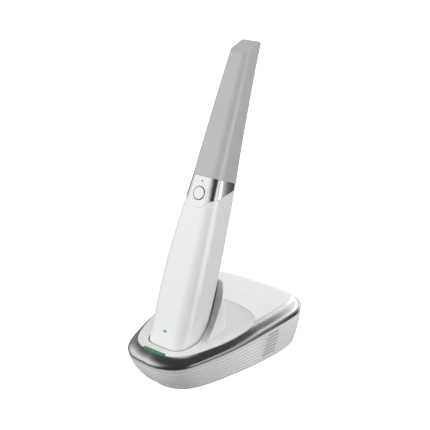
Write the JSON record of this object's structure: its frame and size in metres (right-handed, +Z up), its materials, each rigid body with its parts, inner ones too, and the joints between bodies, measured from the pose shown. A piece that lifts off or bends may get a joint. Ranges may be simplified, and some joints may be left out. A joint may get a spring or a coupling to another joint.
{
  "type": "intraoral scanner",
  "caption": "Wireless dental scanner handpiece with a removable grey tip and chrome collar, leaning in a rounded charging dock with a light bar.",
  "frame": {"origin": "on the surface the dock stands on, in its plane of symmetry, under the middle of the dock's length", "axes": "+Z up; -Y towards the dock's narrow front with the light bar; the handpiece leans back towards +Y; X = 0 is the plane of symmetry"},
  "size_m": [0.0994, 0.1515, 0.2478],
  "materials": {
    "white_handle": "fine satin moulding",
    "chrome_trim": "bright plated plastic",
    "button_chrome": "bright plated plastic",
    "dark_lens": "smoked lens",
    "green_lens": "lit lens",
    "gold_contact": "plated contact",
    "grey_tip": "matt moulding",
    "mirror": "front-surface mirror",
    "black_plastic": "matt black",
    "optical_glass": "polished",
    "machined_aluminium": "as machined",
    "steel": "plain",
    "board": "solder mask",
    "cell_wrap": "shrink sleeve",
    "polished_shell": "bright silver plating",
    "grey_housing": "satin moulding",
    "white_panel": "semi-gloss moulding",
    "grey_liner": "soft matt",
    "light_bar": "diffusing light window",
    "grey_base": "textured moulding",
    "rubber": "soft matt"
  },
  "bodies": {
    "dock": {"handle_sleeve": "white_handle", "trim_collar": "chrome_trim", "button_switch": "board", "status_led_lens": "dark_lens", "battery_led_lens": "green_lens", "handle_end_cap": "white_handle", "charge_pads": "gold_contact", "optics_nose": "black_plastic", "nose_seal": "rubber", "nose_window": "optical_glass", "optics_chassis": "machined_aluminium", "camera_module": "black_plastic", "projector_module": "black_plastic", "chassis_screws": "steel", "main_board": "board", "battery_cell": "cell_wrap", "top_shell": "polished_shell", "base_housing": "grey_housing", "cradle_panel": "white_panel", "cradle_liner": "grey_liner", "led_light_bar": "light_bar", "led_board": "board", "base_plate": "grey_base", "rubber_feet": "rubber", "base_screws": "steel", "pin_block": "black_plastic", "ballast_weight": "steel", "dock_board": "board", "power_inlet": "steel"},
    "button": {"scan_button": "button_chrome"},
    "tip": {"scan_tip_shell": "grey_tip", "tip_mirror": "mirror"},
    "pins": {"contact_pins": "gold_contact"}
  },
  "joints": [
    {"name": "scan_button_press", "type": "slide", "parent": "dock", "child": "button", "axis": [0, 0.9029, -0.4299], "range_m": [0, 0.0007], "stiffness_N_per_m": 600},
    {"name": "scan_tip_pull", "type": "slide", "parent": "dock", "child": "tip", "axis": [0, 0.3917, 0.9201], "range_m": [0, 0.085]},
    {"name": "charge_pins_press", "type": "slide", "parent": "dock", "child": "pins", "axis": [0, 0.3917, 0.9201], "range_m": [-0.0006, 0], "stiffness_N_per_m": 400}
  ]
}
